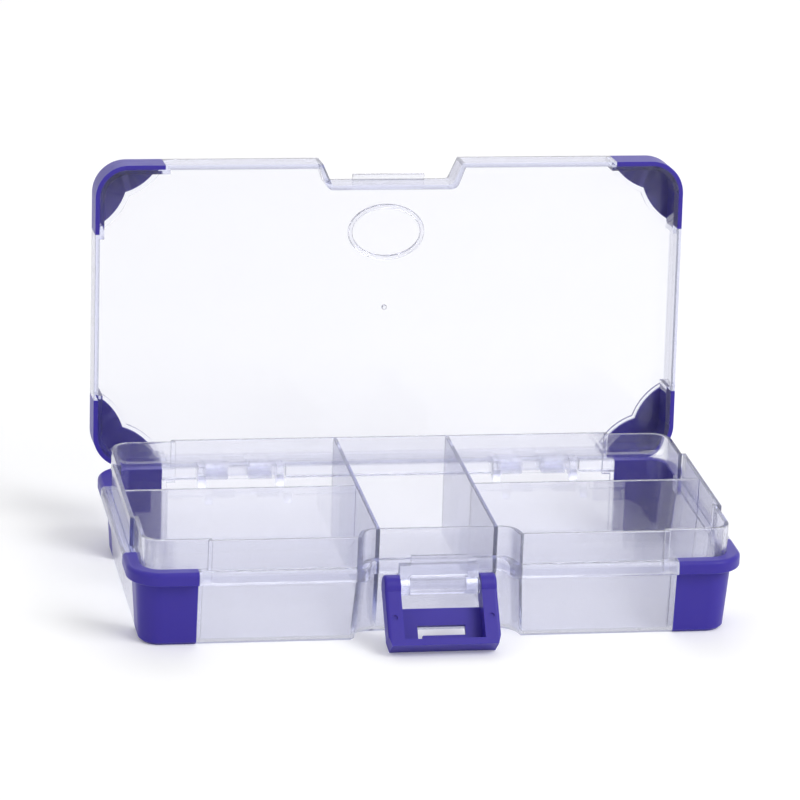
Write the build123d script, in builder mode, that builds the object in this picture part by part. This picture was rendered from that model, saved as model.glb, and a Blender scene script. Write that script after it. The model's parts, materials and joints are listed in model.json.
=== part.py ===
"""Compartment storage box: a clear tub with five compartments, a clear lid on a rear hinge,
eight blue corner guards and a blue latch that hangs on a bar at the front."""

from build123d import *
from math import acos, asin, degrees, hypot
import os

# Overall size. X runs along the length, the latch faces -Y, and Z = 0 is the table.
width = 180.0
depth = 93.0
corner_radius = 10.0
least_corner_radius = 2.0
flange_top = 23.4
flange_height = 4.0
collar_top = 32.2
lid_top = 35.0

# Walls
wall = 1.3
floor_thickness = 1.6
divider_thickness = 1.2
divider_x = 17.25
lid_panel = 1.4
lid_wall = 1.4

# Steps of the tub outline: the flange stands proud of the collar, and the body tapers to its foot
collar_inset = 2.6
body_taper = 1.4
foot_chamfer = 1.0
lid_edge_chamfer = 1.0

# Rounded edges of the flange's lip and of the collar's rim
lip_top_round = 1.3
lip_under_round = 0.6
rim_round = 0.35

# Latch bay, cut into the front of the flange and the lid alike
bay_mouth_half = 21.4
bay_back_half = 18.4
bay_depth = 6.6
bay_corner_radius = 1.2

# Corner guards
guard_thickness = 1.3
base_guard_run_x = 20.1
base_guard_run_y = 18.5
lid_guard_run = 21.0
lid_guard_waist = 10.0
lid_guard_lobe_near = 6.6
lid_guard_lobe_far = 16.2
guard_end_gap = 0.1
lid_guard_plate = 1.2

# Hinge: two sets of ears on the tub carry a pin each, and the lid hooks turn on the pins
hinge_proud = 0.8
hinge_z = 20.85
hinge_centre_x = 45.5
pin_radius = 1.5
hinge_running_gap = 0.1
hook_radius = 2.5
ear_radius = 2.6
ear_thickness = 2.3
ear_drop = 1.6
hook_width = 6.7
hook_spacing = 13.4
hook_offset = -0.6
hinge_span = 26.2
hinge_side_gap = 0.6
hinge_back_gap = 0.5
hook_arm_rise = 5.5
lid_open_angle = 94.8

# Seat of the closed lid on the flange, and room for the lid's front corners to swing past the collar
lid_seat_gap = 0.3
lid_swing_gap = 1.1

# Latch, measured from its pivot: along is towards the hook, out is towards the front when closed
latch_pivot_z = 16.6
latch_proud = 0.3
latch_half_width = 16.4
latch_arm_width = 4.6
latch_face = 3.6
latch_plate = 1.6
latch_side_depth = 2.8
latch_reach = 18.6
latch_hook = 1.9
latch_plate_start = 6.0
latch_window_half = 7.0
latch_window_start = 11.2
latch_window_length = 3.0
latch_window_notch = 1.4
latch_edge_round = 0.9
latch_end_taper = 0.9
latch_taper_length = 3.0
latch_dimple_radius = 0.8
latch_dimple_depth = 0.4
latch_dimple_along = 10.2
table_gap = 0.05

# Bar that the latch hangs on, with its bracket
bar_radius = 2.5
journal_radius = 1.8
journal_gap = 0.1
journal_length = 3.0
lug_width = 3.2
arm_side_gap = 0.3
bracket_front = 2.0
bracket_shoulder_z = 22.7
bracket_tab_z = 25.6
bracket_tab_half = 8.3
bracket_tab_thickness = 1.1

# Catch on the lid
catch_half = 11.0
catch_reach = 1.8
catch_thickness = 2.5
catch_rib = 0.6
hook_catch_gap = 0.3

# Bare oval place on the lid
oval_from_front = 23.0
oval_x_radius = 11.75
oval_y_radius = 8.6
oval_ring = 1.3
oval_height = 0.5
oval_round = 0.4

# Places worked out from the sizes above
front = -depth / 2
rear = depth / 2
body_top = flange_top - flange_height
lid_bottom = flange_top + lid_seat_gap
lid_inner = lid_top - lid_panel
collar_run_x = lid_guard_run + lid_wall + lid_seat_gap
collar_run_y = lid_guard_run + lid_wall + lid_swing_gap
hinge_y = rear + hinge_proud
pivot_y = front + latch_face - latch_proud
latch_reach_radius = hypot(latch_reach, latch_face)
latch_hang_angle = degrees(
    acos((latch_pivot_z - table_gap) / latch_reach_radius) + asin(latch_face / latch_reach_radius)
)
latch_travel = 180.0 - latch_hang_angle
catch_top = latch_pivot_z + latch_reach - latch_hook - hook_catch_gap
lug_outer_x = latch_half_width - latch_arm_width - arm_side_gap
bay_back_y = front + bay_depth
collar_bay_y = bay_back_y + collar_inset


def turned_about(y, z, angle):
    """Location that turns things by angle degrees about the X-parallel line through (y, z)."""
    return Location((0, y, z)) * Location((0, 0, 0), (angle, 0, 0)) * Location((0, -y, -z))


lid_pose = turned_about(hinge_y, hinge_z, -lid_open_angle)
latch_pose = turned_about(pivot_y, latch_pivot_z, latch_travel)


def lid_level(z):
    """Plane of the open lid that lies at height z when the lid is shut."""
    return Plane(lid_pose * Location((0, 0, z)))


def side_plane(x, pose=Location()):
    """Plane facing +X at x, with its local x along Y and its local y along Z, moved by pose."""
    return Plane(pose * Plane.YZ.offset(x).location)


def cut_bay(grow):
    """Takes the latch bay, grown by grow on its three walls, out of the sketch being built."""
    mouth = bay_mouth_half + grow
    back = bay_back_half + grow
    back_y = bay_back_y + grow
    with BuildSketch() as bay:
        with BuildLine():
            Polyline(
                (-mouth, front - wall), (-mouth, front), (-back, back_y),
                (back, back_y), (mouth, front), (mouth, front - wall), close=True,
            )
        make_face()
        fillet(bay.vertices().group_by(Axis.Y)[-1], bay_corner_radius + grow)
    add(bay.sketch_local, mode=Mode.SUBTRACT)


def rounded_plan(inset):
    """Rounded plan of the whole box, inset from the flange edge, in the sketch being built."""
    radius = max(corner_radius - inset, least_corner_radius)
    RectangleRounded(width - 2 * inset, depth - 2 * inset, radius)


def plain_outline(inset):
    """Rounded plan of the box with its latch bay, inset from the flange edge."""
    rounded_plan(inset)
    cut_bay(inset)


def stepped_outline(inset, run_x, run_y, step, skin=0.0):
    """Plan whose four corners step in by step to seat the guards. A skin insets its walls again."""
    whole = inset + skin
    corner = whole + step
    rounded_plan(corner)
    Rectangle(width - 2 * (run_x + skin), depth - 2 * whole)
    Rectangle(width - 2 * whole, depth - 2 * (run_y + skin))
    cut_bay(whole)


def base_outline(inset, skin=0.0):
    """Stepped plan of the tub, in step with its guards."""
    stepped_outline(inset, base_guard_run_x, base_guard_run_y, guard_thickness, skin)


def collar_outline(skin=0.0):
    """Stepped plan of the collar, whose corners also clear the stepped corners of the lid."""
    stepped_outline(collar_inset, collar_run_x, collar_run_y, guard_thickness, skin)


def lid_outline(inset=0.0, skin=0.0):
    """Stepped plan of the lid, in step with its guards."""
    stepped_outline(inset, lid_guard_run, lid_guard_run, guard_thickness, skin)


def guard_lobes(x_side, y_side):
    """Plan of a lid guard's plate: two lobes that meet at a waist on the corner's diagonal."""
    def place(from_side, from_end):
        return (x_side * (width / 2 - from_side), y_side * (depth / 2 - from_end))

    waist = place(lid_guard_waist, lid_guard_waist)
    with BuildLine() as lobes:
        Polyline(place(0, lid_guard_run), place(0, 0), place(lid_guard_run, 0))
        ThreePointArc(
            place(lid_guard_run, 0), place(lid_guard_lobe_far, lid_guard_lobe_near), waist
        )
        ThreePointArc(
            waist, place(lid_guard_lobe_near, lid_guard_lobe_far), place(0, lid_guard_run)
        )
    make_face(lobes.edges())


def body_inset(z):
    """Inset of the tapered body at height z."""
    return collar_inset + body_taper * (1 - z / body_top)


# Rounded lip that the tub's flange and its guards share
with BuildPart() as lip:
    with BuildSketch(Plane.XY.offset(body_top)):
        plain_outline(0)
    extrude(amount=flange_height)
    fillet(lip.edges().group_by(Axis.Z)[-1], lip_top_round)
    fillet(lip.edges().group_by(Axis.Z)[0], lip_under_round)

with BuildPart() as flange:
    add(lip.part)
    with BuildSketch(Plane.XY.offset(body_top)):
        Rectangle(width - 2 * base_guard_run_x, depth)
        Rectangle(width, depth - 2 * base_guard_run_y)
    extrude(amount=flange_height, mode=Mode.INTERSECT)

# Tub: hollow space first, then the outer form
with BuildPart() as hollow:
    with BuildSketch(Plane.XY.offset(floor_thickness)):
        base_outline(body_inset(floor_thickness), wall)
    with BuildSketch(Plane.XY.offset(body_top)):
        base_outline(collar_inset, wall)
    loft(ruled=True)
    with BuildSketch(Plane.XY.offset(body_top)):
        collar_outline(wall)
    extrude(amount=collar_top - body_top + wall)
    with Locations((-divider_x, 0, 0), (divider_x, 0, 0)):
        Box(divider_thickness, depth, 2 * lid_top, mode=Mode.SUBTRACT)
    cross_length = width / 2 - divider_x
    with Locations((-divider_x - cross_length / 2, 0, 0), (divider_x + cross_length / 2, 0, 0)):
        Box(cross_length, divider_thickness, 2 * lid_top, mode=Mode.SUBTRACT)

hinge_centres = (-hinge_centre_x, hinge_centre_x)
ear_shift = (hinge_span - ear_thickness) / 2

with BuildPart() as base_tub:
    with BuildSketch(Plane.XY):
        base_outline(body_inset(0) + foot_chamfer)
    with BuildSketch(Plane.XY.offset(foot_chamfer)):
        base_outline(body_inset(foot_chamfer))
    loft(ruled=True)
    with BuildSketch(Plane.XY.offset(foot_chamfer)):
        base_outline(body_inset(foot_chamfer))
    with BuildSketch(Plane.XY.offset(body_top)):
        base_outline(collar_inset)
    loft(ruled=True)
    with BuildSketch(Plane.XY.offset(body_top)):
        base_outline(collar_inset)
    extrude(amount=flange_height)
    with BuildSketch(Plane.XY.offset(flange_top)):
        collar_outline()
    extrude(amount=collar_top - flange_top)
    add(flange.part)
    # Gaps in the flange where the lid hooks turn
    hinge_gap_width = hinge_span + 2 * hinge_side_gap
    hinge_gap_front = hinge_y - hook_radius - hinge_back_gap
    with Locations([(x, hinge_gap_front, body_top) for x in hinge_centres]):
        Box(
            hinge_gap_width, depth, 2 * flange_height,
            align=(Align.CENTER, Align.MIN, Align.CENTER), mode=Mode.SUBTRACT,
        )
    add(hollow.part, mode=Mode.SUBTRACT)
    fillet(base_tub.edges().group_by(Axis.Z)[-1], rim_round)
    # Ears and pins of the hinge
    wall_middle_y = rear - collar_inset - wall / 2
    for x in hinge_centres:
        for side in (-1, 1):
            with BuildSketch(side_plane(x + side * ear_shift)):
                with Locations((hinge_y, hinge_z)):
                    Circle(ear_radius)
                with BuildLine():
                    Polyline(
                        (wall_middle_y, hinge_z + ear_radius), (hinge_y, hinge_z + ear_radius),
                        (hinge_y + ear_radius, hinge_z), (hinge_y + ear_radius, hinge_z - ear_drop),
                        (wall_middle_y, hinge_z - ear_radius - ear_drop), close=True,
                    )
                make_face()
            extrude(amount=ear_thickness / 2, both=True)
        with BuildSketch(side_plane(x)):
            with Locations((hinge_y, hinge_z)):
                Circle(pin_radius)
        extrude(amount=ear_shift, both=True)
    # Bracket under the front flange, with its tab, and the lugs and bar for the latch
    bracket_y = pivot_y + bracket_front
    bay_wall_middle = collar_bay_y + wall / 2
    with BuildSketch(side_plane(0)):
        with BuildLine():
            Polyline(
                (bay_wall_middle, bracket_shoulder_z), (bracket_y, bracket_shoulder_z),
                (bracket_y, body_top), (bay_wall_middle, latch_pivot_z), close=True,
            )
        make_face()
    extrude(amount=lug_outer_x, both=True)
    with BuildSketch(side_plane(0)):
        with Locations((bracket_y, body_top)):
            Rectangle(
                bracket_tab_thickness, bracket_tab_z - body_top, align=(Align.MAX, Align.MIN)
            )
    extrude(amount=bracket_tab_half, both=True)
    with Locations((0, bracket_y, (body_top + bracket_shoulder_z) / 2)):
        Box(
            2 * lug_outer_x, bracket_tab_thickness, bracket_shoulder_z - body_top,
            align=(Align.CENTER, Align.MAX, Align.CENTER),
        )
    for side in (-1, 1):
        with BuildSketch(side_plane(side * (lug_outer_x - lug_width / 2))):
            with Locations((pivot_y, latch_pivot_z)):
                Circle(bar_radius)
            with BuildLine():
                Polyline(
                    (pivot_y, latch_pivot_z + bar_radius), (bracket_y, bracket_shoulder_z),
                    (bay_wall_middle, bracket_shoulder_z), (bay_wall_middle, latch_pivot_z - bar_radius),
                    (pivot_y, latch_pivot_z - bar_radius), close=True,
                )
            make_face()
        extrude(amount=lug_width / 2, both=True)
    with BuildSketch(side_plane(0)):
        with Locations((pivot_y, latch_pivot_z)):
            Circle(bar_radius)
    extrude(amount=lug_outer_x, both=True)
    with BuildSketch(side_plane(0)):
        with Locations((pivot_y, latch_pivot_z)):
            Circle(journal_radius)
    extrude(amount=lug_outer_x + journal_length, both=True)
base_tub.part.label = "base_tub"

# Guards of the tub: the corners of the full outer form, less the stepped tub behind them
with BuildPart() as base_guard_ring:
    with BuildSketch(Plane.XY):
        plain_outline(body_inset(0) + foot_chamfer)
    with BuildSketch(Plane.XY.offset(foot_chamfer)):
        plain_outline(body_inset(foot_chamfer))
    loft(ruled=True)
    with BuildSketch(Plane.XY.offset(foot_chamfer)):
        plain_outline(body_inset(foot_chamfer))
    with BuildSketch(Plane.XY.offset(body_top)):
        plain_outline(collar_inset)
    loft(ruled=True)
    add(lip.part)
    with BuildSketch(Plane.XY):
        base_outline(body_inset(0) + foot_chamfer)
    with BuildSketch(Plane.XY.offset(foot_chamfer)):
        base_outline(body_inset(foot_chamfer))
    loft(ruled=True, mode=Mode.SUBTRACT)
    with BuildSketch(Plane.XY.offset(foot_chamfer)):
        base_outline(body_inset(foot_chamfer))
    with BuildSketch(Plane.XY.offset(body_top)):
        base_outline(collar_inset)
    loft(ruled=True, mode=Mode.SUBTRACT)
    with BuildSketch(Plane.XY.offset(body_top)):
        base_outline(collar_inset)
    extrude(amount=flange_height, mode=Mode.SUBTRACT)

corners = {
    "front_left": (-1, -1), "front_right": (1, -1), "rear_left": (-1, 1), "rear_right": (1, 1),
}

base_guards = []
for corner, (x_side, y_side) in corners.items():
    with BuildPart() as base_guard:
        add(base_guard_ring.part)
        with BuildSketch(Plane.XY):
            with Locations((x_side * width / 2, y_side * depth / 2)):
                Rectangle(
                    2 * (base_guard_run_x - guard_end_gap), 2 * (base_guard_run_y - guard_end_gap)
                )
        extrude(amount=flange_top, mode=Mode.INTERSECT)
    base_guard.part.label = "base_guard_" + corner
    base_guards.append(base_guard)

# Lid, drawn as if shut, on planes that carry it to the open pose. Solid block first.
lid_shoulder = lid_top - lid_edge_chamfer
with BuildPart() as lid_block:
    with BuildSketch(lid_level(lid_bottom)):
        lid_outline()
    extrude(amount=lid_shoulder - lid_bottom)
    with BuildSketch(lid_level(lid_shoulder)):
        lid_outline()
    with BuildSketch(lid_level(lid_top)):
        lid_outline(lid_edge_chamfer)
    loft(ruled=True)
    for x_side, y_side in corners.values():
        with BuildSketch(lid_level(lid_top)):
            guard_lobes(x_side, y_side)
        extrude(amount=-lid_guard_plate, mode=Mode.SUBTRACT)

with BuildPart() as lid_hollow:
    with BuildSketch(lid_level(lid_bottom)):
        lid_outline(0, lid_wall)
    extrude(amount=lid_inner - lid_bottom)
    for x_side, y_side in corners.values():
        with BuildSketch(lid_level(lid_inner)):
            guard_lobes(x_side, y_side)
            offset(amount=lid_wall, kind=Kind.INTERSECTION)
        extrude(amount=-lid_guard_plate, mode=Mode.SUBTRACT)

# Rim of the bare oval place on the inside of the panel, rooted in the panel
with BuildPart() as oval_rim:
    with BuildSketch(Plane.XY.offset(lid_inner - oval_height)):
        with Locations((0, front + oval_from_front)):
            Ellipse(oval_x_radius, oval_y_radius)
            Ellipse(oval_x_radius - oval_ring, oval_y_radius - oval_ring, mode=Mode.SUBTRACT)
    extrude(amount=oval_height + lid_panel / 2)
    fillet(oval_rim.edges().group_by(Axis.Z)[0], oval_round)

with BuildPart() as lid:
    add(lid_block.part)
    add(lid_hollow.part, mode=Mode.SUBTRACT)
    # Catch for the latch, a shelf with a lip across the back of the bay
    catch_front = bay_back_y - catch_reach
    with BuildSketch(side_plane(0, lid_pose)):
        with Locations((catch_front, catch_top)):
            Rectangle(
                catch_reach + lid_wall / 2, catch_thickness / 2, align=(Align.MIN, Align.MAX)
            )
            Rectangle(catch_rib, catch_thickness, align=(Align.MIN, Align.MAX))
    extrude(amount=catch_half, both=True)
    add(lid_pose * oval_rim.part)
    # Hooks that turn on the hinge pins
    rear_wall_middle = rear - lid_wall / 2
    hook_back = hinge_y + hook_radius
    for x in hinge_centres:
        for side in (-1, 1):
            with BuildSketch(side_plane(x + hook_offset + side * hook_spacing / 2, lid_pose)):
                with Locations((hinge_y, hinge_z)):
                    Circle(hook_radius)
                with BuildLine():
                    Polyline(
                        (rear_wall_middle, lid_bottom), (rear_wall_middle, lid_bottom + hook_arm_rise),
                        (rear, lid_bottom + hook_arm_rise), (hook_back, lid_bottom + hook_radius),
                        (hook_back, hinge_z), (hinge_y, hinge_z), close=True,
                    )
                make_face()
                with Locations((hinge_y, hinge_z)):
                    Circle(pin_radius + hinge_running_gap, mode=Mode.SUBTRACT)
            extrude(amount=hook_width / 2, both=True)
lid.part.label = "lid"

# Guards of the lid: the corners of the full outer form, less the stepped lid behind them
with BuildPart() as lid_guard_ring:
    with BuildSketch(lid_level(lid_bottom)):
        plain_outline(0)
    extrude(amount=lid_shoulder - lid_bottom)
    with BuildSketch(lid_level(lid_shoulder)):
        plain_outline(0)
    with BuildSketch(lid_level(lid_top)):
        plain_outline(lid_edge_chamfer)
    loft(ruled=True)
    add(lid_block.part, mode=Mode.SUBTRACT)

lid_guards = []
for corner, (x_side, y_side) in corners.items():
    with BuildPart() as lid_guard:
        add(lid_guard_ring.part)
        with BuildSketch(lid_level(lid_bottom)):
            with Locations((x_side * width / 2, y_side * depth / 2)):
                Rectangle(2 * (lid_guard_run - guard_end_gap), 2 * (lid_guard_run - guard_end_gap))
        extrude(amount=lid_top - lid_bottom, mode=Mode.INTERSECT)
    lid_guard.part.label = "lid_guard_" + corner
    lid_guards.append(lid_guard)

# Latch, drawn as if shut and carried to its hanging pose
latch_front = pivot_y - latch_face
latch_back = pivot_y + latch_side_depth
latch_end = latch_pivot_z + latch_reach
arm_inner = latch_half_width - latch_arm_width
latch_arms = []
for side, outermost in ((-1, 0), (1, -1)):
    with BuildPart() as latch_arm:
        with BuildSketch(side_plane(side * (latch_half_width - latch_arm_width / 2), latch_pose)):
            with Locations((pivot_y, latch_pivot_z)):
                Circle(latch_face)
            with Locations((latch_front, latch_pivot_z)):
                Rectangle(latch_back - latch_front, latch_reach, align=(Align.MIN, Align.MIN))
        extrude(amount=latch_arm_width / 2, both=True)
        fillet(latch_arm.edges().group_by(Axis.X)[outermost], latch_edge_round)
    latch_arms.append(latch_arm.part)

with BuildPart() as latch:
    add(latch_arms)
    with BuildSketch(side_plane(0, latch_pose)):
        with Locations((latch_front, latch_pivot_z + latch_plate_start)):
            Rectangle(latch_plate, latch_reach - latch_plate_start, align=(Align.MIN, Align.MIN))
        with Locations((latch_front, latch_end)):
            Rectangle(latch_back - latch_front, latch_hook, align=(Align.MIN, Align.MAX))
    extrude(amount=latch_half_width - latch_arm_width / 2, both=True)
    # Window with its corner notch
    window_middle = latch_pivot_z + latch_window_start + latch_window_length / 2
    with BuildSketch(Plane(latch_pose * Plane.XZ.offset(-latch_front).location)):
        with Locations((0, window_middle)):
            Rectangle(2 * latch_window_half, latch_window_length)
        with Locations((-latch_window_half, window_middle)):
            Rectangle(
                latch_window_notch, latch_window_length / 2 + latch_window_notch,
                align=(Align.MIN, Align.MIN),
            )
    extrude(amount=-latch_plate, mode=Mode.SUBTRACT)
    # Sockets for the journals
    with BuildSketch(side_plane(0, latch_pose)):
        with Locations((pivot_y, latch_pivot_z)):
            Circle(journal_radius + journal_gap)
    extrude(amount=lug_outer_x + journal_length + arm_side_gap, both=True, mode=Mode.SUBTRACT)
    # Tapered corners of the hook end
    for side in (-1, 1):
        with BuildSketch(Plane(latch_pose * Plane.XZ.offset(-latch_front).location)):
            with BuildLine():
                Polyline(
                    (side * latch_half_width, latch_end - latch_taper_length),
                    (side * (latch_half_width - latch_end_taper), latch_end),
                    (side * latch_half_width, latch_end), close=True,
                )
            make_face()
        extrude(amount=-(latch_back - latch_front), mode=Mode.SUBTRACT)
    # Dimples in the rims of the arms
    with BuildSketch(Plane(latch_pose * Plane.XZ.offset(-latch_back).location)):
        with Locations(
            (arm_inner + latch_arm_width / 2, latch_pivot_z + latch_dimple_along),
            (-arm_inner - latch_arm_width / 2, latch_pivot_z + latch_dimple_along),
        ):
            Circle(latch_dimple_radius)
    extrude(amount=latch_dimple_depth, mode=Mode.SUBTRACT)
latch.part.label = "latch"

os.makedirs("parts", exist_ok=True)
for piece in (base_tub, lid, latch, *base_guards, *lid_guards):
    export_step(piece.part, "parts/" + piece.part.label + ".step")
print("latch hangs", round(latch_hang_angle, 3), "degrees from plumb and travels", round(latch_travel, 3))
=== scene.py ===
"""Looks of the compartment storage box: clear tub and lid, blue-violet guards and latch, in a pale studio."""

import json
import logging
from dataclasses import dataclass, field, replace
from enum import Enum

import bpy
import numpy as np
from mathutils import Matrix, Vector

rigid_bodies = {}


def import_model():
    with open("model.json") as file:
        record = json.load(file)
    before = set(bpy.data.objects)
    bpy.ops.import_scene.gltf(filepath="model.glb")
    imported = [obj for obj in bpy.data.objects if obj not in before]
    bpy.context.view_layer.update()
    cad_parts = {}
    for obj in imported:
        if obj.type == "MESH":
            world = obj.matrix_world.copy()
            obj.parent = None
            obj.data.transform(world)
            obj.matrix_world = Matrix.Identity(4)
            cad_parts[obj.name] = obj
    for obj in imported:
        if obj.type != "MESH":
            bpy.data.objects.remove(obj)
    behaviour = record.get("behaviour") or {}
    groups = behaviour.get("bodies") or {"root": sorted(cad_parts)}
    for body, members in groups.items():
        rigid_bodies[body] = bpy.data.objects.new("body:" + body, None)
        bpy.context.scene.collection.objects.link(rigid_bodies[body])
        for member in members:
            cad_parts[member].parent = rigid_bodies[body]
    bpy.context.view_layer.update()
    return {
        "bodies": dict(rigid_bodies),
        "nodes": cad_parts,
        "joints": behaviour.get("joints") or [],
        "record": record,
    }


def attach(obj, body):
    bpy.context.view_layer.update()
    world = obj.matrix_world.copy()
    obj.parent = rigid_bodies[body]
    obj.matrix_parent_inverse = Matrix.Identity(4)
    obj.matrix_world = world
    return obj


MM = 0.001
HAIR_STRETCH = (0.12, 1.0, 1.3)
HAIR_HALF_WIDTH = 0.012
WORN_ABOVE = 0.56
FLOOR_ROUGHNESS = 0.9

Colour = tuple[float, float, float]
Point = tuple[float, float, float]

log = logging.getLogger("storage_box")


class Body(Enum):
    """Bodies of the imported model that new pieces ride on."""

    LID = "lid"


class Slot(Enum):
    """Material slot names for new pieces, not used by the pieces made here."""

    CLEAR = "clear_plastic"


class Corner(Enum):
    """Corners of the box, as the guards' node names have them."""

    FRONT_LEFT = "front_left"
    FRONT_RIGHT = "front_right"
    REAR_LEFT = "rear_left"
    REAR_RIGHT = "rear_right"


class NodeGroup:
    """A shader node group with named sockets, built once and placed in each material that uses it."""

    def __init__(self, name: str) -> None:
        """Starts an empty group.

        Args:
            name: The group's name.
        """
        self.tree = bpy.data.node_groups.new(name, "ShaderNodeTree")
        self.nodes = self.tree.nodes
        self.links = self.tree.links

    def add_input(self, name: str, kind: str, value: float | tuple[float, ...]) -> None:
        """Adds a named input with its starting value."""
        socket = self.tree.interface.new_socket(name=name, in_out="INPUT", socket_type=kind)
        socket.default_value = value

    def add_output(self, name: str, kind: str) -> None:
        """Adds a named output."""
        self.tree.interface.new_socket(name=name, in_out="OUTPUT", socket_type=kind)

    def noise(self, scale_from: bpy.types.NodeSocket, detail: float, stretch: Point) -> bpy.types.Node:
        """Adds a noise on Object coordinates.

        Args:
            scale_from: Socket that gives the noise's scale.
            detail: Octaves of the noise.
            stretch: Scale of the coordinates along X, Y and Z.

        Returns:
            The noise node.
        """
        place = self.nodes.new("ShaderNodeTexCoord")
        mapping = self.nodes.new("ShaderNodeMapping")
        mapping.inputs["Scale"].default_value = stretch
        noise = self.nodes.new("ShaderNodeTexNoise")
        noise.inputs["Detail"].default_value = detail
        self.links.new(place.outputs["Object"], mapping.inputs["Vector"])
        self.links.new(mapping.outputs["Vector"], noise.inputs["Vector"])
        self.links.new(scale_from, noise.inputs["Scale"])
        return noise

    def math(self, operation: str, *values: bpy.types.NodeSocket | float) -> bpy.types.NodeSocket:
        """Adds a Math node.

        Args:
            operation: The node's operation.
            values: Its inputs in order, each a socket or a number.

        Returns:
            The result socket.
        """
        node = self.nodes.new("ShaderNodeMath")
        node.operation = operation
        for slot, value in zip(node.inputs, values):
            if isinstance(value, bpy.types.NodeSocket):
                self.links.new(value, slot)
            else:
                slot.default_value = value
        return node.outputs["Value"]


def build_mould_skin() -> bpy.types.NodeTree:
    """Builds the shared effect of an injection-moulded surface.

    Slow waves from cooling drift the colour and the gloss, and fine grain on top of them gives the height.

    Returns:
        A node group that puts out Colour, Roughness and Height.
    """
    group = NodeGroup("mould_skin")
    group.add_input("Colour", "NodeSocketColor", (0.8, 0.8, 0.8, 1.0))
    group.add_input("Drift Colour", "NodeSocketColor", (0.8, 0.8, 0.8, 1.0))
    group.add_input("Roughness", "NodeSocketFloat", 0.3)
    group.add_input("Roughness Drift", "NodeSocketFloat", 0.05)
    group.add_input("Wave Scale", "NodeSocketFloat", 40.0)
    group.add_input("Grain Scale", "NodeSocketFloat", 900.0)
    group.add_input("Grain Share", "NodeSocketFloat", 0.15)
    group.add_output("Colour", "NodeSocketColor")
    group.add_output("Roughness", "NodeSocketFloat")
    group.add_output("Height", "NodeSocketFloat")
    inputs = group.nodes.new("NodeGroupInput").outputs
    outputs = group.nodes.new("NodeGroupOutput").inputs
    wave = group.noise(inputs["Wave Scale"], 1.5, (0.6, 1.0, 1.0)).outputs["Fac"]
    grain = group.noise(inputs["Grain Scale"], 2.0, (1.0, 1.0, 1.0)).outputs["Fac"]
    mix = group.nodes.new("ShaderNodeMix")
    mix.data_type = "RGBA"
    group.links.new(wave, mix.inputs["Factor"])
    group.links.new(inputs["Colour"], mix.inputs["A"])
    group.links.new(inputs["Drift Colour"], mix.inputs["B"])
    group.links.new(mix.outputs["Result"], outputs["Colour"])
    rough = group.math("MULTIPLY_ADD", wave, inputs["Roughness Drift"], inputs["Roughness"])
    group.links.new(rough, outputs["Roughness"])
    height = group.math("MULTIPLY_ADD", grain, inputs["Grain Share"], wave)
    group.links.new(height, outputs["Height"])
    return group.tree


def build_handling_wear() -> bpy.types.NodeTree:
    """Builds the shared effect of handling: sparse hairline scuffs that dull the gloss.

    Thin bands of a stretched noise are cut out where a second, slower noise is high.

    Returns:
        A node group that adds the scuffs to a roughness and puts out Roughness.
    """
    group = NodeGroup("handling_wear")
    group.add_input("Roughness", "NodeSocketFloat", 0.3)
    group.add_input("Scuff Scale", "NodeSocketFloat", 220.0)
    group.add_input("Patch Scale", "NodeSocketFloat", 30.0)
    group.add_input("Strength", "NodeSocketFloat", 0.1)
    group.add_output("Roughness", "NodeSocketFloat")
    inputs = group.nodes.new("NodeGroupInput").outputs
    outputs = group.nodes.new("NodeGroupOutput").inputs
    hair = group.noise(inputs["Scuff Scale"], 1.0, HAIR_STRETCH).outputs["Fac"]
    patch = group.noise(inputs["Patch Scale"], 1.0, (1.0, 1.0, 1.0)).outputs["Fac"]
    off_centre = group.math("ABSOLUTE", group.math("SUBTRACT", hair, 0.5))
    line = group.math("LESS_THAN", off_centre, HAIR_HALF_WIDTH)
    worn = group.math("GREATER_THAN", patch, WORN_ABOVE)
    scuff = group.math("MULTIPLY", line, worn)
    scuffed = group.math("MULTIPLY_ADD", scuff, inputs["Strength"], inputs["Roughness"])
    group.links.new(scuffed, outputs["Roughness"])
    return group.tree


@dataclass(frozen=True)
class MouldedFinish:
    """What every moulded plastic of the box has: drifting colour, uneven gloss, fine grain and scuffs."""

    name: str
    colour: Colour
    drift: Colour
    roughness: float
    roughness_drift: float
    wave_scale: float
    grain_scale: float
    grain_share: float
    bump: float
    bump_distance: float
    scuff: float
    specular: float
    ior: float = 1.49

    def start(self, skin: bpy.types.NodeTree, wear: bpy.types.NodeTree) -> bpy.types.Material:
        """Makes the material with the effects that all finishes share.

        Args:
            skin: The group of moulded surfaces.
            wear: The group of handling wear.

        Returns:
            The material, with its Principled BSDF dressed.
        """
        material = bpy.data.materials.new(self.name)
        material.use_nodes = True
        nodes, links = material.node_tree.nodes, material.node_tree.links
        shader = nodes["Principled BSDF"]
        shader.inputs["IOR"].default_value = self.ior
        shader.inputs["Specular IOR Level"].default_value = self.specular
        surface = nodes.new("ShaderNodeGroup")
        surface.node_tree = skin
        for socket, value in (
            ("Colour", (*self.colour, 1.0)),
            ("Drift Colour", (*self.drift, 1.0)),
            ("Roughness", self.roughness),
            ("Roughness Drift", self.roughness_drift),
            ("Wave Scale", self.wave_scale),
            ("Grain Scale", self.grain_scale),
            ("Grain Share", self.grain_share),
        ):
            surface.inputs[socket].default_value = value
        handled = nodes.new("ShaderNodeGroup")
        handled.node_tree = wear
        handled.inputs["Strength"].default_value = self.scuff
        bump = nodes.new("ShaderNodeBump")
        bump.inputs["Strength"].default_value = self.bump
        bump.inputs["Distance"].default_value = self.bump_distance
        links.new(surface.outputs["Colour"], shader.inputs["Base Color"])
        links.new(surface.outputs["Roughness"], handled.inputs["Roughness"])
        links.new(handled.outputs["Roughness"], shader.inputs["Roughness"])
        links.new(surface.outputs["Height"], bump.inputs["Height"])
        links.new(bump.outputs["Normal"], shader.inputs["Normal"])
        return material


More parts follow.
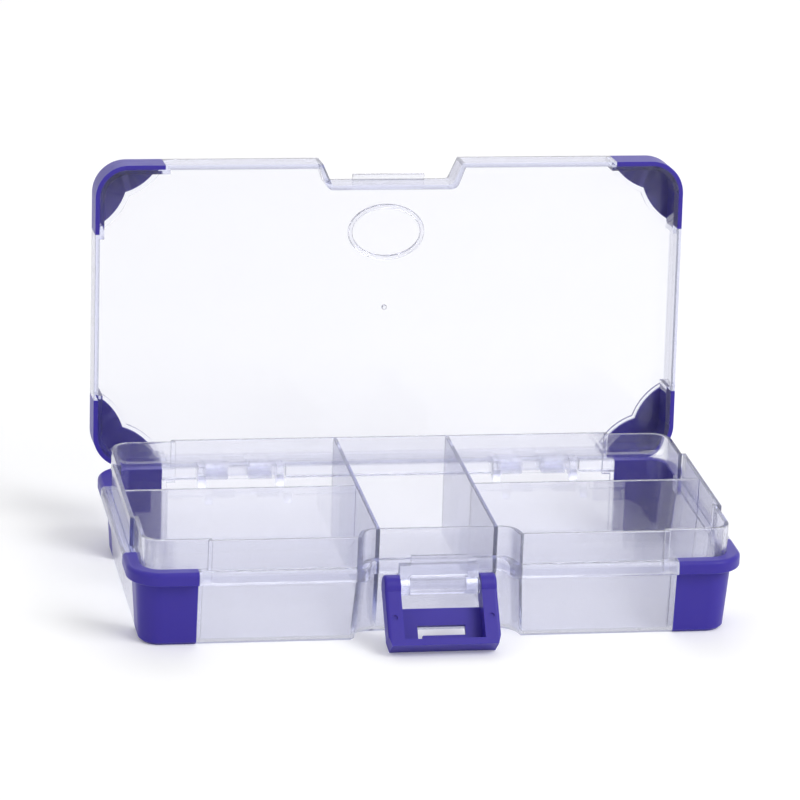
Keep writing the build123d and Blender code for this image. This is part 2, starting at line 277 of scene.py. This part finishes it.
@dataclass(frozen=True)
class ClearPlastic(MouldedFinish):
    """Clear polypropylene: faintly hazy, and tinted lavender where the light runs far inside it.

    Flat walls let part of the view straight through, and edge-on faces refract fully. The volume gives the
    long way through the plastic its lavender, and faces turned edge-on to the view get a painted shade: a
    base colour mixed towards a darker lavender-grey. Lamps reach through the thin walls, so the inside of the
    box stays bright.
    """

    transmission: float = 0.97
    face_alpha: float = 0.72
    edge_alpha: float = 1.0
    lit_alpha: float = 0.1
    # Painted shade: past this Layer Weight facing, faces turned edge-on to the view mix their base colour
    # towards the colour below.
    painted_edge_shade_from: float = 0.32
    painted_edge_shade_colour: Colour = (0.42, 0.42, 0.56)
    inner_colour: Colour = (0.50, 0.54, 0.90)
    inner_density: float = 45.0

    def build(self, skin: bpy.types.NodeTree, wear: bpy.types.NodeTree) -> bpy.types.Material:
        """Makes the material.

        Args:
            skin: The group of moulded surfaces.
            wear: The group of handling wear.

        Returns:
            The finished material.
        """
        material = self.start(skin, wear)
        nodes, links = material.node_tree.nodes, material.node_tree.links
        shader = nodes["Principled BSDF"]
        shader.inputs["Transmission Weight"].default_value = self.transmission
        facing = nodes.new("ShaderNodeLayerWeight")
        facing.inputs["Blend"].default_value = 0.5
        seen = nodes.new("ShaderNodeMapRange")
        seen.inputs["To Min"].default_value = self.face_alpha
        seen.inputs["To Max"].default_value = self.edge_alpha
        links.new(facing.outputs["Facing"], seen.inputs["Value"])
        path = nodes.new("ShaderNodeLightPath")
        lit = nodes.new("ShaderNodeMath")
        lit.operation = "MAXIMUM"
        links.new(path.outputs["Is Shadow Ray"], lit.inputs[0])
        links.new(path.outputs["Is Diffuse Ray"], lit.inputs[1])
        alpha = nodes.new("ShaderNodeMix")
        alpha.inputs["B"].default_value = self.lit_alpha
        links.new(lit.outputs["Value"], alpha.inputs["Factor"])
        links.new(seen.outputs["Result"], alpha.inputs["A"])
        links.new(alpha.outputs["Result"], shader.inputs["Alpha"])
        # Painted edge shade: the base colour darkens towards a lavender-grey as the surface turns edge-on to
        # the view.
        painted_edge_shade_mask = nodes.new("ShaderNodeMapRange")
        painted_edge_shade_mask.inputs["From Min"].default_value = self.painted_edge_shade_from
        links.new(facing.outputs["Facing"], painted_edge_shade_mask.inputs["Value"])
        painted_edge_shade = nodes.new("ShaderNodeMix")
        painted_edge_shade.data_type = "RGBA"
        painted_edge_shade.inputs["B"].default_value = (*self.painted_edge_shade_colour, 1.0)
        links.new(painted_edge_shade_mask.outputs["Result"], painted_edge_shade.inputs["Factor"])
        links.new(shader.inputs["Base Color"].links[0].from_socket, painted_edge_shade.inputs["A"])
        links.new(painted_edge_shade.outputs["Result"], shader.inputs["Base Color"])
        inside = nodes.new("ShaderNodeVolumeAbsorption")
        inside.inputs["Color"].default_value = (*self.inner_colour, 1.0)
        inside.inputs["Density"].default_value = self.inner_density
        links.new(inside.outputs["Volume"], nodes["Material Output"].inputs["Volume"])
        return material


@dataclass(frozen=True)
class BluePlastic(MouldedFinish):
    """Blue-violet plastic of the guards and the latch: satin, and slightly translucent at its thin edges."""

    subsurface: float = 0.35
    subsurface_radius: Colour = (0.15, 0.25, 1.0)
    subsurface_scale: float = 0.0016

    def build(self, skin: bpy.types.NodeTree, wear: bpy.types.NodeTree) -> bpy.types.Material:
        """Makes the material.

        Args:
            skin: The group of moulded surfaces.
            wear: The group of handling wear.

        Returns:
            The finished material.
        """
        material = self.start(skin, wear)
        shader = material.node_tree.nodes["Principled BSDF"]
        shader.inputs["Subsurface Weight"].default_value = self.subsurface
        shader.inputs["Subsurface Radius"].default_value = self.subsurface_radius
        shader.inputs["Subsurface Scale"].default_value = self.subsurface_scale
        return material


CLEAR_FINISH = ClearPlastic(
    name="clear_polypropylene", colour=(0.95, 0.95, 0.975), drift=(0.925, 0.926, 0.96), roughness=0.05,
    roughness_drift=0.05, wave_scale=60.0, grain_scale=1500.0, grain_share=0.1, bump=0.12,
    bump_distance=0.0002, scuff=0.08, specular=0.15,
)
BLUE_FINISH = BluePlastic(
    name="blue_violet_plastic", colour=(0.046, 0.030, 0.31), drift=(0.053, 0.037, 0.34), roughness=0.33,
    roughness_drift=0.06, wave_scale=70.0, grain_scale=2500.0, grain_share=0.3, bump=0.2,
    bump_distance=0.0001, scuff=0.06, specular=0.2,
)


# The oval rim's finish: the clear finish with a wider, darker painted edge shade, so the rim shows as a dark
# outline.
RIM_FINISH = replace(
    CLEAR_FINISH, name="clear_polypropylene_rim_painted_shade", face_alpha=0.75, painted_edge_shade_from=0.1,
    painted_edge_shade_colour=(0.26, 0.26, 0.36),
)


@dataclass(frozen=True)
class Finishes:
    """The plastics of the box, ready to put on pieces."""

    clear: bpy.types.Material
    rim: bpy.types.Material
    blue: bpy.types.Material

    @classmethod
    def make(cls) -> "Finishes":
        """Builds the materials on the shared effects."""
        skin, wear = build_mould_skin(), build_handling_wear()
        return cls(*(finish.build(skin, wear) for finish in (CLEAR_FINISH, RIM_FINISH, BLUE_FINISH)))


def dress(node: bpy.types.Object, material: bpy.types.Material) -> None:
    """Gives a CAD node its finish and reports it.

    Args:
        node: The node's object.
        material: The finish.
    """
    for slot in node.material_slots:
        slot.material = material
    log.info("dressed %s in %s", node.name, material.name)


def surface_of_revolution(
    radii: np.ndarray, heights: np.ndarray, steps: int
) -> tuple[np.ndarray, np.ndarray]:
    """Turns a profile about the Z axis.

    Point (i, j) is (r_j cos t_i, r_j sin t_i, z_j), where t_i runs once round in equal steps.

    Args:
        radii: The profile's distances from the axis.
        heights: The profile's heights.
        steps: Number of steps round the axis.

    Returns:
        The vertices, one row each, and the four-sided faces, facing away from the axis where the profile
        rises.
    """
    turn = np.linspace(0.0, 2.0 * np.pi, steps, endpoint=False)[:, None]
    levels = np.broadcast_to(heights, (steps, len(heights)))
    grid = np.stack((np.cos(turn) * radii, np.sin(turn) * radii, levels), axis=-1)
    here = np.arange(steps)[:, None] * len(radii) + np.arange(len(radii) - 1)
    there = np.roll(here, -1, axis=0)
    faces = np.stack((here, there, there + 1, here + 1), axis=-1)
    return grid.reshape(-1, 3), faces.reshape(-1, 4)


def oval_rim_surface(
    half_sizes: tuple[float, float], insets: np.ndarray, heights: np.ndarray, steps: int
) -> tuple[np.ndarray, np.ndarray]:
    """Carries a closed profile round an ellipse that narrows evenly as the profile goes inwards.

    Point (i, j) is ((a - d_j) cos t_i, (b - d_j) sin t_i, z_j), where t_i runs once round in equal steps.

    Args:
        half_sizes: The outer ellipse's half width a and half height b.
        insets: How far inside the outer ellipse each point d_j of the profile is.
        heights: The profile's heights z_j.
        steps: Number of steps round the ellipse.

    Returns:
        The vertices, one row each, and the four-sided faces, closed both ways.
    """
    turn = np.linspace(0.0, 2.0 * np.pi, steps, endpoint=False)[:, None]
    half_width, half_height = half_sizes
    levels = np.broadcast_to(heights, (steps, len(heights)))
    along, across = (half_width - insets) * np.cos(turn), (half_height - insets) * np.sin(turn)
    grid = np.stack((along, across, levels), axis=-1)
    count = len(insets)
    here = np.arange(steps * count).reshape(steps, count)
    there = np.roll(here, -1, axis=0)
    faces = np.stack((here, there, np.roll(there, -1, axis=1), np.roll(here, -1, axis=1)), axis=-1)
    return grid.reshape(-1, 3), faces.reshape(-1, 4)


def make_piece(
    name: str, vertices: np.ndarray, faces: np.ndarray, material: bpy.types.Material
) -> bpy.types.Object:
    """Makes a smooth object of a grid.

    Args:
        name: The piece's name.
        vertices: The vertices, one row each, in metres.
        faces: The four-sided faces.
        material: The finish.

    Returns:
        The new object, at the origin.
    """
    mesh = bpy.data.meshes.new(name)
    mesh.from_pydata(vertices.tolist(), [], faces.tolist())
    mesh.validate()
    mesh.shade_smooth()
    mesh.materials.append(material)
    piece = bpy.data.objects.new(name, mesh)
    bpy.context.scene.collection.objects.link(piece)
    return piece


@dataclass
class Tub:
    """The clear tub with its four corner guards."""

    frame: dict
    finishes: Finishes
    shell: str = "base_tub"
    guard_prefix: str = "base_guard_"

    def build(self) -> None:
        """Dresses the tub and its guards."""
        dress(self.frame["nodes"][self.shell], self.finishes.clear)
        for corner in Corner:
            dress(self.frame["nodes"][self.guard_prefix + corner.value], self.finishes.blue)


@dataclass
class Lid:
    """The clear lid with its corner guards, the rim of its oval place and the gate mark at its middle."""

    frame: dict
    finishes: Finishes
    shell: str = "lid"
    guard_prefix: str = "lid_guard_"
    hinge: str = "lid_hinge"
    panel_inside: float = 33.6 * MM
    gate_root: float = 0.8 * MM
    gate_height: float = 0.25 * MM
    gate_sunk: float = 0.1 * MM
    gate_pit: float = 0.1 * MM
    gate_steps: int = 40
    oval_middle: float = -23.5 * MM
    oval_half_sizes: tuple[float, float] = (11.75 * MM, 8.6 * MM)
    oval_ring: float = 1.3 * MM
    oval_height: float = 0.5 * MM
    oval_round: float = 0.4 * MM
    oval_proud: float = 0.04 * MM
    oval_root: float = 0.2 * MM
    oval_steps: int = 160
    round_steps: int = 8

    def open_pose(self) -> Matrix:
        """Works out the turn that carries the shut lid to its rest pose, back from the hinge's limit.

        Returns:
            The turn, as a matrix.
        """
        hinge = next(joint for joint in self.frame["joints"] if joint["name"] == self.hinge)
        place = Matrix.Translation(Vector(hinge["pos_m"]))
        turn = Matrix.Rotation(-np.radians(hinge["range_deg"][1]), 4, Vector(hinge["axis"]))
        return place @ turn @ place.inverted()

    def gate_mark(self) -> bpy.types.Object:
        """Makes the gate mark, a low turned stub on the inside of the panel with a pit torn in its top.

        Returns:
            The gate mark.
        """
        radii = np.array((0.0, 1.0, 1.0, 0.72, 0.62, 0.5, 0.3, 0.0)) * self.gate_root
        sunk, drop, pit = self.gate_sunk, self.gate_height, self.gate_pit
        levels = np.array((sunk, sunk, 0.0, -0.55 * drop, -0.9 * drop, -drop, 0.6 * pit - drop, pit - drop))
        vertices, faces = surface_of_revolution(radii, levels + self.panel_inside, self.gate_steps)
        piece = make_piece("lid_gate_mark", vertices, faces[:, ::-1], self.finishes.clear)
        piece.data.transform(self.open_pose())
        return piece

    def oval_rim(self) -> bpy.types.Object:
        """Makes the skin of the oval place's rim, a hair proud of the solid rim, with both edges rounded, in
        the rim finish whose darker painted edge shade outlines it.

        Returns:
            The rim.
        """
        quarter = np.linspace(0.0, 0.5 * np.pi, self.round_steps)
        crown = self.oval_height + self.oval_proud
        insets = self.oval_round * (1.0 - np.cos(quarter)) - self.oval_proud
        levels = crown - self.oval_round * (1.0 - np.sin(quarter))
        outer = np.concatenate((insets[:1], insets))
        insets = np.concatenate((outer, self.oval_ring - outer[::-1]))
        levels = np.concatenate(([-self.oval_root], levels, levels[::-1], [-self.oval_root]))
        vertices, faces = oval_rim_surface(
            self.oval_half_sizes, insets, self.panel_inside - levels, self.oval_steps
        )
        vertices[:, 1] += self.oval_middle
        piece = make_piece("lid_oval_rim", vertices, faces[:, ::-1], self.finishes.rim)
        piece.data.transform(self.open_pose())
        return piece

    def build(self) -> None:
        """Dresses the lid and its guards, and adds the oval place's rim and the gate mark."""
        dress(self.frame["nodes"][self.shell], self.finishes.clear)
        for corner in Corner:
            dress(self.frame["nodes"][self.guard_prefix + corner.value], self.finishes.blue)
        for piece in (self.oval_rim(), self.gate_mark()):
            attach(piece, Body.LID.value)
            log.info("built %s", piece.name)


@dataclass
class Latch:
    """The blue latch that hangs on its bar."""

    frame: dict
    finishes: Finishes
    shell: str = "latch"

    def build(self) -> None:
        """Dresses the latch."""
        dress(self.frame["nodes"][self.shell], self.finishes.blue)


@dataclass(frozen=True)
class Lamp:
    """A square lamp that looks at the middle of the box."""

    name: str
    place: Point
    size: float
    power: float
    aim: Point = (0.0, 0.0, 0.04)

    def build(self) -> None:
        """Makes the lamp."""
        data = bpy.data.lights.new(self.name, "AREA")
        data.size = self.size
        data.energy = self.power
        lamp = bpy.data.objects.new(self.name, data)
        lamp.location = self.place
        lamp.rotation_euler = (Vector(self.aim) - Vector(self.place)).to_track_quat("-Z", "Y").to_euler()
        bpy.context.scene.collection.objects.link(lamp)


@dataclass
class Studio:
    """Pale floor, white surroundings, soft lamps and the camera of the photograph."""

    azimuth: float = -10.54
    elevation: float = 18.55
    roll: float = 2.43
    distance: float = 1.3534
    focal_px: float = 4614.8
    frame_px: float = 800.0
    sensor_mm: float = 36.0
    target: Point = (-0.00573, 0.0, 0.05861)
    floor_half: float = 4.0
    floor_shade: float = 0.95
    floor_lift: float = 0.1
    surroundings: float = 0.56
    lamps: tuple[Lamp, ...] = field(default=(
        Lamp("key", (0.9, -0.9, 1.2), 0.9, 16.0),
        Lamp("fill", (-1.1, -0.5, 0.9), 1.0, 1.2),
        Lamp("back", (0.1, 1.2, 1.2), 1.0, 5.0),
    ))

    def build_camera(self) -> None:
        """Makes the camera: back from the target along the view's azimuth and elevation, then rolled."""
        azimuth, elevation, roll = np.radians((self.azimuth, self.elevation, self.roll))
        level = np.cos(elevation)
        back = Vector((np.sin(azimuth) * level, -np.cos(azimuth) * level, np.sin(elevation)))
        right = (-back).cross(Vector((0.0, 0.0, 1.0))).normalized()
        up = right.cross(-back)
        rolled_right = np.cos(roll) * right + np.sin(roll) * up
        rolled_up = -np.sin(roll) * right + np.cos(roll) * up
        data = bpy.data.cameras.new("camera")
        data.sensor_width = self.sensor_mm
        data.sensor_fit = "HORIZONTAL"
        data.lens = self.focal_px * self.sensor_mm / self.frame_px
        data.clip_end = 20.0
        camera = bpy.data.objects.new("camera", data)
        turn = Matrix((rolled_right, rolled_up, back)).transposed().to_4x4()
        camera.matrix_world = Matrix.Translation(Vector(self.target) + back * self.distance) @ turn
        bpy.context.scene.collection.objects.link(camera)
        bpy.context.scene.camera = camera

    def white_to_viewer(self, tree: bpy.types.NodeTree) -> bpy.types.NodeSocket:
        """Adds nodes that give 1 to the camera and to what it sees by gloss or through clear plastic.

        Args:
            tree: The node tree to add them to.

        Returns:
            The socket with that value, 0 for all other light.
        """
        path = tree.nodes.new("ShaderNodeLightPath")
        value = path.outputs["Is Camera Ray"]
        for kind in ("Is Glossy Ray", "Is Transmission Ray"):
            either = tree.nodes.new("ShaderNodeMath")
            either.operation = "MAXIMUM"
            tree.links.new(value, either.inputs[0])
            tree.links.new(path.outputs[kind], either.inputs[1])
            value = either.outputs["Value"]
        return value

    def build_floor(self) -> None:
        """Makes the floor, a wide square at the box's underside, near white to the viewer."""
        half = self.floor_half
        corners = [(-half, -half, 0.0), (half, -half, 0.0), (half, half, 0.0), (-half, half, 0.0)]
        mesh = bpy.data.meshes.new("floor")
        mesh.from_pydata(corners, [], [(0, 1, 2, 3)])
        floor = bpy.data.objects.new("floor", mesh)
        bpy.context.scene.collection.objects.link(floor)
        material = bpy.data.materials.new("pale_floor")
        material.use_nodes = True
        tree = material.node_tree
        shader = tree.nodes["Principled BSDF"]
        shader.inputs["Base Color"].default_value = (self.floor_shade,) * 3 + (1.0,)
        shader.inputs["Roughness"].default_value = FLOOR_ROUGHNESS
        shader.inputs["Specular IOR Level"].default_value = 0.0
        shader.inputs["Emission Color"].default_value = (1.0, 1.0, 1.0, 1.0)
        lift = tree.nodes.new("ShaderNodeMath")
        lift.operation = "MULTIPLY"
        lift.inputs[1].default_value = self.floor_lift
        tree.links.new(self.white_to_viewer(tree), lift.inputs[0])
        tree.links.new(lift.outputs["Value"], shader.inputs["Emission Strength"])
        floor.data.materials.append(material)

    def build_surroundings(self) -> None:
        """Makes the world, plain light on the box and white to the viewer."""
        world = bpy.data.worlds.new("studio")
        world.use_nodes = True
        tree = world.node_tree
        background = tree.nodes["Background"]
        background.inputs["Color"].default_value = (1.0, 1.0, 1.0, 1.0)
        level = tree.nodes.new("ShaderNodeMapRange")
        level.inputs["To Min"].default_value = self.surroundings
        level.inputs["To Max"].default_value = 1.0
        tree.links.new(self.white_to_viewer(tree), level.inputs["Value"])
        tree.links.new(level.outputs["Result"], background.inputs["Strength"])
        bpy.context.scene.world = world

    def build(self) -> None:
        """Makes the camera, floor, surroundings and lamps."""
        bpy.context.scene.view_settings.view_transform = "Standard"
        self.build_camera()
        self.build_floor()
        self.build_surroundings()
        for lamp in self.lamps:
            lamp.build()


def main() -> None:
    """Builds the studio and dresses the box."""
    logging.basicConfig(level=logging.INFO, format="%(message)s")
    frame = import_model()
    Studio().build()
    finishes = Finishes.make()
    for assembly in (Tub(frame, finishes), Lid(frame, finishes), Latch(frame, finishes)):
        assembly.build()


if __name__ == "__main__":
    main()
